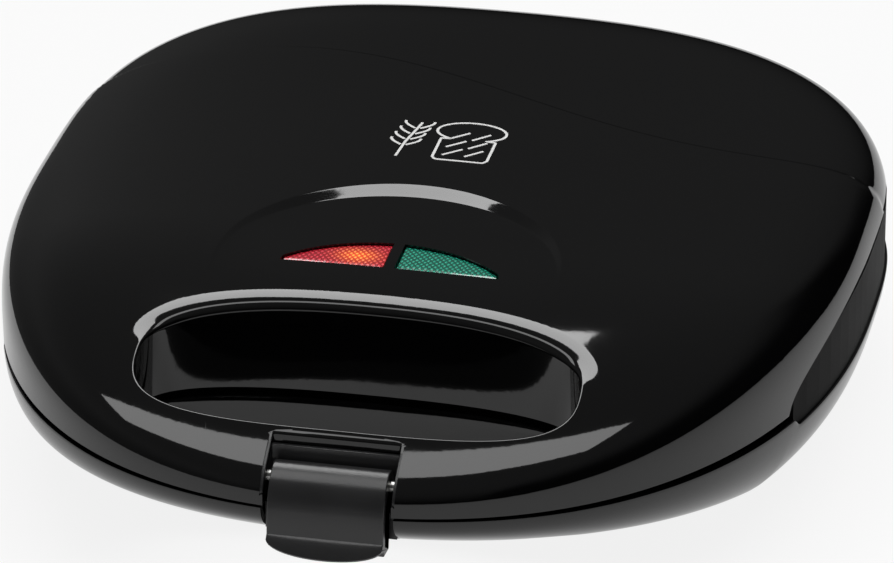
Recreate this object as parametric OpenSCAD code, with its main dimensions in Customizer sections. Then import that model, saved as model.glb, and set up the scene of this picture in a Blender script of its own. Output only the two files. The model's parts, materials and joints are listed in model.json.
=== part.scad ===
// Two-slice sandwich toaster: domed lid on a rear hinge, shallow base with a
// thin front handle bar, swinging clip in a slot of the lid's handle.
// Millimetres, +Z up, the front of the toaster looks along -Y.

/* [Outline seen from above] */
// half of the greatest width
half_width = 118; // [90:1:150]
// from the widest line to the front edge
front_depth = 153.6; // [110:0.1:190]
// from the widest line to the rear edge
rear_depth = 96.6; // [70:0.1:130]
// how square the front half of the outline is
front_squareness = 2.25; // [2:0.05:4]
// how square the rear half of the outline is
rear_squareness = 3.25; // [2:0.05:5]
// place of the widest line
widest_y = 26.6; // [0:0.1:60]
// height of the seam between lid and base
seam_z = 41; // [30:0.5:60]

/* [Lid shell] */
// rise of the lid over the seam at its middle
lid_rise = 36.2; // [20:0.1:60]
// loss of rise at the front bar
lid_front_drop = 21; // [0:0.5:30]
// gain of rise at the rear
lid_rear_gain = 6; // [0:0.5:12]
// loss of rise at the sides
lid_side_drop = 5.4; // [0:0.1:12]
// how far behind the hand opening's middle the front drop begins
drop_start = 62.5; // [40:0.5:80]
// length over which the front drop is measured
drop_length = 90; // [60:1:120]
// how far before the rear edge the rear gain begins
gain_start = 111.45; // [80:0.05:130]
// length over which the gain and the side drop are measured
gain_length = 100; // [60:1:120]
// how flat the top stays before the shoulder
lid_flatness = 9; // [3:0.5:14]
// how tight the shoulder turns
lid_shoulder = 4; // [2:0.1:6]
// wall of the lid
lid_wall = 2.4; // [1.6:0.1:4]
// how far the lid's lower edge arches up along the sides
side_arch = 15.3; // [0:0.1:20]
// length over which the side edge arches up
side_arch_length = 60; // [30:1:90]
// how far behind the hand opening's middle the side edge starts to arch up
side_arch_start = 42.5; // [30:0.5:60]

/* [Base shell] */
// depth of the base under the seam at the front edge
bar_depth = 13.9; // [8:0.1:20]
// growth of the base's depth per millimetre towards the rear
depth_slope = 0.246; // [0:0.001:0.5]
// depth of the base under the plates
base_depth = 33.4; // [25:0.1:45]
// how flat the underside stays
base_flatness = 6.84; // [3:0.01:12]
// how tight the underside turns up
base_shoulder = 2.487; // [1.5:0.001:5]
// wall of the base
base_wall = 2.4; // [1.6:0.1:4]
// gap between lid edge and base rim at the front
seam_gap = 1; // [0.5:0.1:3]
// extra gap reached at the sides
seam_gap_side = 2.3; // [0:0.1:4]
// distance from the middle at which that extra gap is reached
seam_gap_reach = 105; // [80:1:120]
// drop of the base rim along the rear half
rear_rim_drop = 6; // [3:0.5:12]
// how far behind the hand opening's middle the raised rear wall starts
rear_wall_start = 46.5; // [35:0.5:60]

/* [Hand opening] */
// half of its length across the toaster
hand_half_length = 58.5; // [40:0.5:80]
// half of its depth
hand_half_depth = 20.5; // [15:0.5:30]
// how square its ends are
hand_squareness = 2.6; // [2:0.1:4]
// distance of its middle behind the front edge
hand_in = 36.25; // [30:0.05:50]
// wall round the opening
collar_wall = 2.2; // [1.5:0.1:4]
// gap over the seam where the lid's collar ends
lid_collar_end = 5.5; // [3:0.1:10]
// height over the seam of the base's collar
base_collar_end = 2.8; // [0:0.1:5]

/* [Plates] */
// distance of a plate's sides from the widest line
plate_side = 16; // [12:0.5:30]
// distance of a plate's front edge behind the hand opening's middle
plate_front = 50.75; // [45:0.25:70]
// distance of a plate's rear edge before the rear edge of the outline
plate_rear = 39.2; // [30:0.1:60]
// corner radius of a plate
plate_r = 20; // [8:1:30]
// thickness of a plate's flange
plate_t = 2.6; // [2:0.1:4]
// distance of each plate's face from the seam
plate_gap = 0.4; // [0.2:0.1:2]
// depth of the sandwich pockets
pocket_depth = 11; // [6:0.5:16]
// wall of the pockets
pocket_wall = 3; // [2:0.1:4]
// slope of the pockets' walls
pocket_slope = 0.45; // [0.2:0.05:0.7]
// inner side of the pockets, from the middle
pocket_x0 = 5; // [4:0.5:10]
// flat rim of a plate outside its pockets
pocket_side = 9; // [7:0.5:20]
// flat rim of a plate in front of and behind its pockets
pocket_rim = 11; // [7:0.5:20]
// how much of a pocket's sharp ends is cut off
pocket_end = 10.5; // [6:0.5:20]
// width of the diagonal ridge
ridge_w = 8; // [7:0.5:12]
// thickness of the frames that hold the plates
frame_t = 4.7; // [3:0.1:8]
// gap between a plate's faces and the frame that holds it
frame_gap = 0.4; // [0.3:0.1:1]

/* [Heating] */
// diameter of the heating tube
heater_d = 6.6; // [5:0.1:9]
// depth of the tube's loop
heater_loop = 60; // [40:1:80]
// distance of the tube's loop from a plate's side
heater_side = 12; // [10:0.5:30]
// distance between the tube's two ends
heater_ends = 24; // [16:1:40]
// sheet thickness of the heat shields
shield_t = 0.8; // [0.5:0.1:1.5]
// distance of the shields from the seam
shield_out = 23.7; // [22:0.1:27]
// how much smaller the shields are than the plates on each side
shield_in = 2; // [1:0.5:6]
// radius of a temperature switch
switch_r = 9; // [6:0.5:12]
// height of a temperature switch
switch_h = 6; // [4:0.5:9]
// distance of the switches from the middle
switch_x = 36; // [25:1:60]
// distance of the switches and of the fuse behind the middle of the plates
switch_back = 16; // [10:0.5:30]
// radius of the fuse's sleeve
fuse_r = 2.4; // [1.5:0.1:3]
// length of the fuse's sleeve
fuse_length = 20; // [12:1:30]
// radius of a wire with its sleeve
wire_r = 1.1; // [0.6:0.1:2]

/* [Hinge] */
// height of the hinge axis over the seam
hinge_up = 13.5; // [10:0.1:18]
// distance of the hinge axis behind the rear edge
hinge_back = 6; // [4:0.1:9]
// radius of the knuckles
knuckle_r = 3.5; // [3:0.1:6]
// radius of the hinge pins
hinge_pin_r = 1.6; // [1:0.1:3]
// distance of each hinge from the middle
hinge_x = 42; // [25:1:60]
// half width of the lid's knuckle
lid_knuckle_half = 6.5; // [4:0.1:12]
// width of each of the base's knuckles
base_knuckle_w = 5; // [3:0.1:10]

/* [Screws] */
// radius of the screws
screw_r = 1.5; // [1:0.05:2.5]
// radius of their heads
screw_head_r = 3; // [2:0.1:4]
// thickness of the heads of the long screws
screw_head_t = 2.45; // [1:0.05:4]
// distance of the plates' screws from the plates' edges
plate_screw_in = 11; // [7:0.5:16]
// distance of the front long screws from the widest line
front_screw_side = 33; // [25:1:60]
// distance of the front long screws behind the hand opening's middle
front_screw_back = 44.25; // [35:0.25:60]
// distance of the rear long screws from the widest line
rear_screw_side = 48; // [35:1:80]
// distance of the rear long screws before the rear edge
rear_screw_in = 23.2; // [15:0.1:40]
// depth under the seam of the seats of the base's screws
base_screw_seat = 17; // [12:0.5:24]
// radius of the posts that take the screws
post_r = 5; // [3.5:0.1:8]

/* [Front clip] */
// half of the clip's width
clip_half = 15.3; // [10:0.1:25]
// half of the slot's width
slot_half = 16.9; // [12:0.1:28]
// distance of the clip's pivot behind the front edge
clip_in = 7.45; // [5:0.05:12]
// height of the clip's pivot over the seam
clip_up = 5.6; // [2:0.1:10]
// radius of the clip's barrel
clip_barrel_r = 4.2; // [3:0.1:6]
// radius of the clip's pin
clip_pin_r = 1.5; // [1:0.1:2.5]
// radius of the clip's tongue seen from the front
tongue_r = 22.8; // [16:0.1:60]
// angle by which the resting clip stands off its hooked place
clip_rest_angle = 5; // [0:0.5:10]
// thickness of the cheeks that hold the pin
cheek_t = 1.6; // [1:0.1:3]
// distance of the catch behind the front edge
catch_in = 6; // [4:0.5:10]
// depth of the catch
catch_t = 4; // [2:0.5:8]
// top of the catch under the seam
catch_top = 1.5; // [1:0.1:4]
// underside of the catch under the seam
catch_foot = 8.8; // [6:0.1:12]

/* [Lamp windows] */
// distance of the windows' front edge behind the hand opening's middle
lens_back = 39; // [30:0.25:50]
// radius of their curved rear edge
lens_r = 42.3; // [30:0.1:60]
// depth of the windows at the middle
lens_d = 13.1; // [8:0.1:20]
// half of the bridge between the two windows
lens_bridge = 1.8; // [1:0.1:4]
// half of the whole length of both windows
lens_half = 29; // [20:0.5:40]
// radius of a lamp's bulb
lamp_r = 2.4; // [1.5:0.1:4]
// length of a lamp's bulb
lamp_length = 12; // [6:0.5:18]
// distance of a lamp from the middle
lamp_x = 5; // [3:0.5:12]
// height over the seam of the holder's top
holder_up = 25; // [18:0.5:28]
// depth of the holder
holder_d = 14; // [8:0.5:24]

/* [Feet and cord inlet] */
// radius of a foot
foot_r = 8; // [5:0.5:12]
// height of a foot
foot_h = 9.6; // [6:0.1:12]
// distance of the feet from the widest line
foot_side = 46; // [35:1:70]
// distance of the front feet behind the hand opening's middle
foot_front = 64.75; // [50:0.25:90]
// distance of the rear feet before the rear edge
foot_rear = 39.2; // [25:0.1:60]
// radius of the bore for the cord
cord_bore_r = 3.2; // [2.5:0.1:5]
// height of the cord inlet
cord_z = 25; // [20:0.5:32]
// radius of the cord inlet's neck
gland_r = 5; // [4:0.1:7]
// radius of the cord inlet's flange
gland_flange_r = 7.5; // [6:0.1:10]
// depth of the cord inlet's seat before the rear edge
gland_in = 7; // [4:0.5:10]
// width of the terminal block
terminal_w = 34; // [24:1:50]
// depth of the terminal block
terminal_d = 13; // [8:0.5:20]
// height of the pad under the terminal block
terminal_pad = 14; // [8:0.5:20]
// height of the terminal block
terminal_h = 12; // [8:0.5:16]
// distance of the terminal block's middle before the rear edge
terminal_in = 26.2; // [20:0.1:40]

/* [Fits] */
// radial clearance of turning parts
turning_fit = 0.08; // [0.02:0.01:0.1]
// radial clearance of fixed pins
fixed_fit = 0.02; // [0.01:0.01:0.05]
// gap between seated pieces
seat_gap = 0.05; // [0.02:0.01:0.1]

/* [Hidden] */
steps = 96;
front_y = widest_y - front_depth;
rear_y = widest_y + rear_depth;
hand_y = front_y + hand_in;
arch_front_y = hand_y + side_arch_start;
rear_wall_y = hand_y + rear_wall_start;
plate_w = 2 * (half_width - plate_side);
plate_d = rear_y - plate_rear - hand_y - plate_front;
plate_y = hand_y + plate_front + plate_d / 2;
pocket_x1 = plate_w / 2 - pocket_side;
pocket_y = plate_d / 2 - pocket_rim;
frame_out = plate_gap + frame_gap;
hinge_y = rear_y + hinge_back;
hinge_z = seam_z + hinge_up;
clip_y = front_y + clip_in;
clip_z = seam_z + clip_up;
heater_off = plate_gap + plate_t + 1.2 + pocket_depth + heater_d / 2 + 0.1;
plate_out = plate_gap + plate_t;
boss_out = plate_gap + pocket_depth + pocket_wall;
heater_run = plate_w - heater_loop - 2 * heater_side;
wire_y = plate_y + heater_loop / 2 + 4;
lens_y = hand_y + lens_back;
lens_arc_y = lens_y + lens_d - lens_r;
cheek_out = slot_half + cheek_t;
slot_back_y = hand_y - hand_half_depth - collar_wall - seat_gap;
catch_front_y = front_y + catch_in;
screw_sink = 1.3;
gland_seat_y = rear_y - gland_in;
terminal_y = rear_y - terminal_in;
foot_x = half_width - foot_side;
foot_front_y = hand_y + foot_front;
foot_rear_y = rear_y - foot_rear;

// shared shapes

// distance from the outline's middle along direction t
function reach(t, w, f, r) =
    let (d = sin(t) < 0 ? f : r, n = sin(t) < 0 ? front_squareness : rear_squareness)
    1 / pow(pow(abs(cos(t)) / w, n) + pow(abs(sin(t)) / d, n), 1 / n);

// outline drawn in by a given amount
function outline(inset = 0) = [for (i = [0:steps - 1])
    let (t = 360 * i / steps, r = reach(t, half_width - inset, front_depth - inset, rear_depth - inset))
    [r * cos(t), widest_y + r * sin(t)]];

// rear line of the outline at a given place across, drawn in by a given amount
function rear_line(x, inset) =
    let (n = rear_squareness)
    widest_y + (rear_depth - inset) * pow(1 - pow(x / (half_width - inset), n), 1 / n);

// hand opening grown by a given amount
function hand(grow = 0) = [for (i = [0:steps - 1])
    let (t = 360 * i / steps, a = hand_half_length + grow, b = hand_half_depth + grow,
         r = 1 / pow(pow(abs(cos(t)) / a, hand_squareness) + pow(abs(sin(t)) / b, hand_squareness),
                     1 / hand_squareness))
    [r * cos(t), hand_y + r * sin(t)]];

// rise of the lid before its shoulder
function lid_form(x, y) =
    let (f = max((hand_y + drop_start - y) / drop_length, 0),
         r = max((y - rear_y + gain_start) / gain_length, 0))
    lid_rise - lid_front_drop * f * f + lid_rear_gain * r * r - lid_side_drop * pow(x / gain_length, 2);

// depth of the base before its shoulder
function base_form(y) = min(bar_depth + depth_slope * (y - front_y), base_depth);

// how much the side edge of the lid arches up at a given place
function arch(y) =
    let (s = (y - arch_front_y) / side_arch_length)
    s <= 0 ? 0 : s >= 1 ? side_arch : side_arch * sqrt(1 - (1 - s) * (1 - s));

// height of the base rim under the seam
function rim(x) = seam_gap + seam_gap_side * pow(x / seam_gap_reach, 2);

// height of the lid's outside over the seam on its long section
function lid_line(x, y) =
    let (q = pow(pow(abs(x) / half_width, front_squareness)
                 + pow(abs(y - widest_y) / front_depth, front_squareness), 1 / front_squareness))
    lid_form(x, y) * pow(max(1 - pow(q, lid_flatness), 0), 1 / lid_shoulder);

// rings of a shell, from the edge to the middle
ring_q = [1, 0.9985, 0.996, 0.992, 0.985, 0.975, 0.96, 0.94, 0.91, 0.87, 0.8, 0.7, 0.56, 0.4, 0.22];

module bowl(rings) {
    n = len(rings);
    last = n * steps;
    middle = [for (i = [0:steps - 1]) rings[n - 1][i].z];
    first = [for (i = [0:steps - 1]) rings[0][i].z];
    points = concat(
        [for (ring = rings) for (p = ring) p],
        [[0, widest_y, middle[0]], [0, widest_y, max(first)]]);
    up = rings[n - 1][0].z > rings[0][0].z;
    sides = [for (k = [0:n - 2]) for (i = [0:steps - 1])
        let (j = (i + 1) % steps, a = k * steps + i, b = k * steps + j, c = a + steps, d = b + steps)
        each up ? [[a, c, b], [b, c, d]] : [[a, b, c], [b, d, c]]];
    cap = [for (i = [0:steps - 1])
        let (j = (i + 1) % steps, a = (n - 1) * steps + i, b = (n - 1) * steps + j)
        up ? [a, last, b] : [a, b, last]];
    foot = [for (i = [0:steps - 1])
        let (j = (i + 1) % steps)
        up ? [i, j, last + 1] : [j, i, last + 1]];
    polyhedron(points, concat(sides, cap, foot), convexity = 8);
}

// solid under the lid's skin, thinned by a given amount and closed under the seam
module lid_solid(inset = 0) {
    rings = [for (q = ring_q) [for (i = [0:steps - 1])
        let (t = 360 * i / steps,
             r = q * reach(t, half_width - inset, front_depth - inset, rear_depth - inset),
             x = r * cos(t), y = widest_y + r * sin(t),
             z = (lid_form(x, y) - inset) * pow(max(1 - pow(q, lid_flatness), 0), 1 / lid_shoulder))
        [x, y, seam_z + (q == 1 ? -3 - inset : z)]]];
    bowl(rings);
}

// solid inside the base's skin, thinned by a given amount and closed higher up
module base_solid(inset = 0, top = 0) {
    rings = [for (q = ring_q) [for (i = [0:steps - 1])
        let (t = 360 * i / steps,
             r = q * reach(t, half_width - inset, front_depth - inset, rear_depth - inset),
             x = r * cos(t), y = widest_y + r * sin(t),
             z = (base_form(y) - inset) * pow(max(1 - pow(q, base_flatness), 0), 1 / base_shoulder))
        [x, y, seam_z - (q == 1 ? rim(x) - top : max(z, rim(x) - top + (1 - q) * 0.5))]]];
    bowl(rings);
}

module slab(points, z0, z1) {
    translate([0, 0, z0])
        linear_extrude(z1 - z0)
            polygon(points);
}

module block(x0, x1, y0, y1, z0, z1) {
    translate([x0, y0, z0])
        cube([x1 - x0, y1 - y0, z1 - z0]);
}

module rounded(w, d, r, y, z0, z1) {
    translate([0, y, z0])
        linear_extrude(z1 - z0)
            union() {
                square([w - 2 * r, d], center = true);
                square([w, d - 2 * r], center = true);
                for (sx = [-1, 1])
                    for (sy = [-1, 1])
                        translate([sx * (w / 2 - r), sy * (d / 2 - r)])
                            circle(r, $fn = 48);
            }
}

module bar_x(x0, x1, y, z, r, n = 40) {
    translate([x0, y, z])
        rotate([0, 90, 0])
            cylinder(h = x1 - x0, r = r, $fn = n);
}

module stud(x, y, z0, z1, r, n = 32) {
    translate([x, y, z0])
        cylinder(h = z1 - z0, r = r, $fn = n);
}

// round bar along Y at the cord inlet
module stud_y(y0, y1, r) {
    translate([0, y1, cord_z])
        rotate([90, 0, 0])
            cylinder(h = y1 - y0, r = r, $fn = 48);
}

// tube that follows a flat path of points at one height
module tube(path, z, r, n = 16) {
    m = len(path);
    points = [for (k = [0:m - 1])
        let (a = path[max(k - 1, 0)], b = path[min(k + 1, m - 1)], d = (b - a) / norm(b - a))
        for (i = [0:n - 1])
            let (t = 360 * i / n)
            [path[k].x - d.y * r * cos(t), path[k].y + d.x * r * cos(t), z + r * sin(t)]];
    faces = [for (k = [0:m - 2]) for (i = [0:n - 1])
        let (j = (i + 1) % n, a = k * n + i, b = k * n + j)
        each [[a, b, a + n], [b, b + n, a + n]]];
    ends = [[for (i = [n - 1:-1:0]) i], [for (i = [0:n - 1]) (m - 1) * n + i]];
    polyhedron(points, concat(faces, ends), convexity = 6);
}

// places of the screws that hold each plate
plate_screws = [for (sx = [-1, 1]) for (sy = [-1, 1]) [
    sx * (plate_w / 2 - plate_screw_in), plate_y + sy * (plate_d / 2 - plate_screw_in)]];
// places of the long screws
shell_screws = [for (sx = [-1, 1]) each [
    [sx * (half_width - front_screw_side), hand_y + front_screw_back],
    [sx * (half_width - rear_screw_side), rear_y - rear_screw_in]]];

// plates

// one triangular pocket: its right angle at the origin and its three corners cut off
function pocket(corner) =
    let (w = pocket_x1 - pocket_x0, d = 2 * pocket_y, full = norm([w, d]),
         k = 1 - ridge_w / 2 * full / (w * d), u = w * k, v = d * k, e = pocket_end)
    [[corner, 0], [u - e, 0], [u - e, e * d / w], [e * w / d, v - e], [0, v - e], [0, corner]];

// the same corners with every side moved inwards
function drawn_in(p, by) = [for (i = [0:len(p) - 1])
    let (a = p[(i + len(p) - 1) % len(p)], b = p[i], c = p[(i + 1) % len(p)],
         f = (b - a) / norm(b - a), g = (c - b) / norm(c - b),
         m = [-f.y, f.x], n = [-g.y, g.x])
    b + (m + n) * by / (1 + m * n)];

// one pocket with sloping walls, drawn upwards from its mouth
module pocket_form(corner, low, high, grow) {
    p = pocket(corner);
    k = len(p);
    points = [for (z = [low, high]) for (q = drawn_in(p, max(z, 0) * pocket_slope - grow)) [q.x, q.y, z]];
    sides = [for (i = [0:k - 1]) [i, i + k, (i + 1) % k + k, (i + 1) % k]];
    polyhedron(points, concat(sides, [[for (i = [0:k - 1]) i], [for (i = [k - 1:-1:0]) k + i]]));
}

// the four pockets of a plate
module pockets(low, high, grow) {
    for (m = [0, 1])
        mirror([m, 0, 0]) {
            translate([pocket_x1, plate_y - pocket_y, 0])
                mirror([1, 0, 0])
                    pocket_form(20, low, high, grow);
            translate([pocket_x0, plate_y + pocket_y, 0])
                mirror([0, 1, 0])
                    pocket_form(6, low, high, grow);
        }
}

// a plate with its mouth face at zero and its pockets going up
module plate() {
    difference() {
        union() {
            rounded(plate_w, plate_d, plate_r, plate_y, 0, plate_t);
            pockets(0, pocket_depth + pocket_wall, pocket_wall);
        }
        pockets(-1, pocket_depth, 0);
        for (s = plate_screws) {
            stud(s.x, s.y, -1, plate_t + 1, screw_r + 0.1);
            stud(s.x, s.y, -1, screw_sink, screw_head_r + 0.1);
        }
    }
}

module lower_plate() {
    color("DimGray")
        translate([0, 0, seam_z - plate_gap])
            mirror([0, 0, 1])
                plate();
}

module upper_plate() {
    color("DimGray")
        translate([0, 0, seam_z + plate_gap])
            plate();
}

module plate_screw_set() {
    for (s = plate_screws) {
        stud(s.x, s.y, 0.2, screw_sink - seat_gap, screw_head_r);
        stud(s.x, s.y, 0.8, plate_t + 4, screw_r + seat_gap);
    }
}

module lower_plate_screws() {
    color("Silver")
        translate([0, 0, seam_z - plate_gap])
            mirror([0, 0, 1])
                plate_screw_set();
}

// base

module base_columns(z0, z1, r) {
    for (s = shell_screws)
        stud(s.x, s.y, z0, z1, r);
}

module base_cover() {
    color("#1c1c1e")
        difference() {
            union() {
                base_solid();
                slab(hand(collar_wall), seam_z - 8, seam_z + base_collar_end);
            }
            slab(hand(), -5, seam_z + 10);
            difference() {
                base_solid(base_wall, 25);
                slab(hand(collar_wall), -5, seam_z + 40);
                base_columns(-5, seam_z - plate_gap - frame_t - 1, post_r);
                block(-terminal_w / 2 - 2, terminal_w / 2 + 2, terminal_y - terminal_d / 2 - 1.5,
                      terminal_y + terminal_d / 2 + 1.5, 0, terminal_pad);
                block(-gland_flange_r - 3.5, gland_flange_r + 3.5, gland_seat_y - 3, rear_y,
                      0, seam_z - rear_rim_drop);
            }
            block(-half_width - 5, half_width + 5, rear_wall_y, rear_y + 20,
                  seam_z - rear_rim_drop, seam_z + 12);
            block(-slot_half - 0.5, slot_half + 0.5, front_y - 10, catch_front_y + catch_t, 0, seam_z + 10);
            base_columns(-5, seam_z - base_screw_seat, screw_head_r + 0.4);
            base_columns(-5, seam_z + 10, screw_r + 0.1);
            for (sx = [-1, 1])
                for (y = [foot_front_y, foot_rear_y])
                    stud(sx * foot_x, y, -5, foot_h, foot_r + seat_gap, 48);
            stud_y(gland_seat_y - 20, rear_y + 5, gland_r + seat_gap);
            stud_y(gland_seat_y, rear_y + 5, gland_flange_r + seat_gap);
        }
}

// section of the raised rear wall, seen from the side
function wall_side() = concat(
    [[rear_wall_y, seam_z - rear_rim_drop + seat_gap]],
    [for (i = [0:20]) let (y = rear_wall_y + i * (arch_front_y + side_arch_length - rear_wall_y) / 20)
        [y, seam_z + arch(y) - 1]],
    [[rear_y + 5, seam_z + side_arch - 1], [rear_y + 5, seam_z - rear_rim_drop + seat_gap]]);

module side_cut(points, half) {
    rotate([90, 0, 90])
        translate([0, 0, -half])
            linear_extrude(2 * half)
                polygon(points);
}

module base_inner_frame() {
    top = seam_z - frame_out;
    color("#151515")
        difference() {
            union() {
                difference() {
                    union() {
                        slab(outline(base_wall + 0.35), top - 1.2, top);
                        slab(outline(base_wall + 3.2), top - frame_t, top);
                        intersection() {
                            slab(outline(base_wall + 0.35), top - frame_t, top);
                            block(-half_width, half_width, rear_wall_y - 3.75, rear_y, 0, 100);
                        }
                    }
                    rounded(plate_w - 10, plate_d - 10, plate_r + 10, plate_y, 0, 100);
                    rounded(plate_w + 0.6, plate_d + 0.6, plate_r + 0.3, plate_y,
                            seam_z - plate_out - seat_gap, 100);
                    slab(hand(collar_wall + 0.2), 0, 100);
                    block(-slot_half - 0.6, slot_half + 0.6, front_y - 10, catch_front_y + catch_t + 0.1,
                          0, 100);
                }
                intersection() {
                    difference() {
                        slab(outline(1), seam_z - 10, seam_z + 20);
                        slab(outline(3.2), seam_z - 11, seam_z + 21);
                    }
                    side_cut(wall_side(), half_width + 5);
                }
                for (sx = [-1, 1])
                    for (k = [-1, 1])
                        base_lug(sx * hinge_x + k * (lid_knuckle_half + 0.4 + base_knuckle_w / 2));
            }
            for (sx = [-1, 1])
                block(sx * hinge_x - lid_knuckle_half - 0.4, sx * hinge_x + lid_knuckle_half + 0.4,
                      rear_y - 12, rear_y + 20, hinge_z - 4.2, 200);
            bar_x(-100, 100, hinge_y, hinge_z, hinge_pin_r + fixed_fit);
            for (s = plate_screws)
                stud(s.x, s.y, 0, 100, screw_r + 0.15);
            base_columns(0, top - 1, screw_r + 0.05);
        }
}

// lug that carries the hinge pin behind the rear wall
module base_lug(x) {
    w = base_knuckle_w / 2;
    bar_x(x - w, x + w, hinge_y, hinge_z, knuckle_r);
    start_y = min(rear_y - 3, rear_line(abs(x) + w, 2));
    side = [[start_y, hinge_z - 12], [hinge_y - 1, hinge_z - 5], [hinge_y + knuckle_r, hinge_z],
            [hinge_y, hinge_z + 0.2], [start_y, hinge_z - 0.4]];
    translate([x, 0, 0])
        side_cut(side, w);
}

module lower_heater() {
    color("#5c5a55")
        tube(heater_path(), seam_z - heater_off, heater_d / 2);
}

// one loop of heating tube, open in the middle of its rear run
function heater_path() =
    let (r = heater_loop / 2, h = heater_run / 2, e = heater_ends / 2)
    concat(
        [[-e, plate_y + r], [-h, plate_y + r]],
        [for (i = [1:17]) [-h - r * sin(i * 10), plate_y + r * cos(i * 10)]],
        [[-h, plate_y - r], [h, plate_y - r]],
        [for (i = [1:17]) [h + r * sin(i * 10), plate_y - r * cos(i * 10)]],
        [[h, plate_y + r], [e, plate_y + r]]);

// sheet pan with its rim at zero, opening towards it
module shield(depth) {
    w = plate_w - 2 * shield_in;
    d = plate_d - 2 * shield_in;
    r = plate_r + 2 * shield_in;
    difference() {
        rounded(w, d, r, plate_y, 0, depth);
        rounded(w - 2 * shield_t, d - 2 * shield_t, r - shield_t, plate_y, -1, depth - shield_t);
        for (sx = [-1, 1])
            translate([sx * heater_ends / 2, plate_y + d / 2 + 10, heater_off - frame_out - frame_t])
                rotate([90, 0, 0])
                    cylinder(h = 30, r = 3, $fn = 24);
    }
}

module lower_reflector() {
    z = seam_z - frame_out - frame_t - seat_gap;
    color("Silver")
        translate([0, 0, z])
            mirror([0, 0, 1])
                shield(z - (seam_z - shield_out));
}

// round switch seated on the back of a pocket
module thermostat(z) {
    y = plate_y + switch_back;
    stud(switch_x, y, z, z + 2, switch_r);
    stud(switch_x, y, z + 2, z + switch_h, switch_r - 1.5);
    for (x = [switch_x - 4, switch_x + 4])
        block(x - 1.5, x + 1.5, y - 0.4, y + 0.4, z + switch_h - 0.1, z + switch_h + 2);
}

module lower_thermostat() {
    color("Gainsboro")
        translate([0, 0, seam_z])
            mirror([0, 0, 1])
                thermostat(boss_out + seat_gap);
}

module base_screws() {
    seat = seam_z - base_screw_seat - seat_gap;
    color("Silver")
        for (s = shell_screws) {
            stud(s.x, s.y, seat - screw_head_t, seat, screw_head_r);
            stud(s.x, s.y, seat - 0.15, seam_z - 2, screw_r);
        }
}

module rubber_feet() {
    color("#202020")
        for (sx = [-1, 1])
            for (y = [foot_front_y, foot_rear_y])
                difference() {
                    stud(sx * foot_x, y, 0, foot_h - seat_gap, foot_r, 48);
                    stud(sx * foot_x, y, -1, 1.2, foot_r - 3, 32);
                }
}

module cord_gland() {
    color("#181818")
        difference() {
            union() {
                stud_y(gland_seat_y + seat_gap, rear_y + 1, gland_flange_r);
                stud_y(gland_seat_y - 6, rear_y, gland_r);
            }
            stud_y(gland_seat_y - 10, rear_y + 5, cord_bore_r);
        }
}

module terminal_block() {
    color("Ivory")
        difference() {
            block(-terminal_w / 2, terminal_w / 2, terminal_y - terminal_d / 2, terminal_y + terminal_d / 2,
                  terminal_pad + seat_gap, terminal_pad + terminal_h);
            for (k = [-1, 0, 1])
                stud(k * (terminal_w / 3 - 1 / 3), terminal_y, terminal_pad + terminal_h / 2,
                     terminal_pad + terminal_h + 4, 2.4, 24);
        }
}

// pair of leads from the tube's ends towards the rear, drawing nearer on their way
module lead(z, nearer, end_y) {
    for (sx = [-1, 1])
        tube([for (i = [0:14]) [sx * (heater_ends / 2 - nearer * (1 - cos(180 * i / 14))),
                                wire_y + i * (end_y - wire_y) / 14]], z, wire_r, 10);
}

module lower_wiring() {
    color("White")
        lead(seam_z - heater_off, 0.6, terminal_y - terminal_d / 2 - 1.04);
}

module latch_catch() {
    color("#1c1c1e")
        block(-slot_half - 0.4, slot_half + 0.4, catch_front_y, catch_front_y + catch_t - seat_gap,
              seam_z - catch_foot, seam_z - catch_top);
}

module hinge_pins() {
    half = lid_knuckle_half + 0.4 + base_knuckle_w + 0.8;
    color("Silver")
        for (sx = [-1, 1])
            bar_x(sx * hinge_x - half, sx * hinge_x + half, hinge_y, hinge_z, hinge_pin_r);
}

// lid

function lens_edge(grow) =
    let (r = lens_r + grow, x0 = lens_bridge - grow, x1 = lens_half + grow * 1.4)
    concat([[x0, lens_y - grow], [x1, lens_y - grow]],
           [for (i = [0:12]) let (x = x1 - 0.6 - (x1 - 0.6 - x0) * i / 12)
               [x, lens_arc_y + sqrt(max(r * r - x * x, 0))]]);

// everything under the lid's lower edge, seen from the side
function under_lid_edge() = concat(
    [[rear_y + 20, 0], [front_y - 20, 0], [front_y - 20, seam_z]],
    [for (a = [0:7.5:90])
        [arch_front_y + side_arch_length * (1 - cos(a)), seam_z + side_arch * sin(a)]],
    [[rear_y + 20, seam_z + side_arch]]);

module lid_posts(z0, z1) {
    for (s = shell_screws)
        stud(s.x, s.y, z0, z1, post_r);
}

module lid_cover() {
    color("#101012")
        difference() {
            lid_solid();
            side_cut(under_lid_edge(), half_width + 5);
            slab(hand(), 0, 200);
            difference() {
                lid_solid(lid_wall);
                slab(hand(collar_wall), seam_z + lid_collar_end, 200);
                lid_posts(seam_z + frame_out + frame_t + seat_gap, 200);
                for (sx = [-1, 1])
                    stud(sx * (lens_half + 8), lens_y + holder_d / 2 - 2.25, seam_z + holder_up, 200, 3);
            }
            block(-cheek_out - 0.1, cheek_out + 0.1, front_y - 10, slot_back_y, 0, 200);
            for (m = [0, 1])
                mirror([m, 0, 0])
                    slab(lens_edge(0.2), seam_z + 20, 200);
            lid_post_bores(screw_r + seat_gap);
        }
}

module lid_post_bores(r) {
    for (s = shell_screws)
        stud(s.x, s.y, 0, seam_z + 18, r);
}

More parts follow.
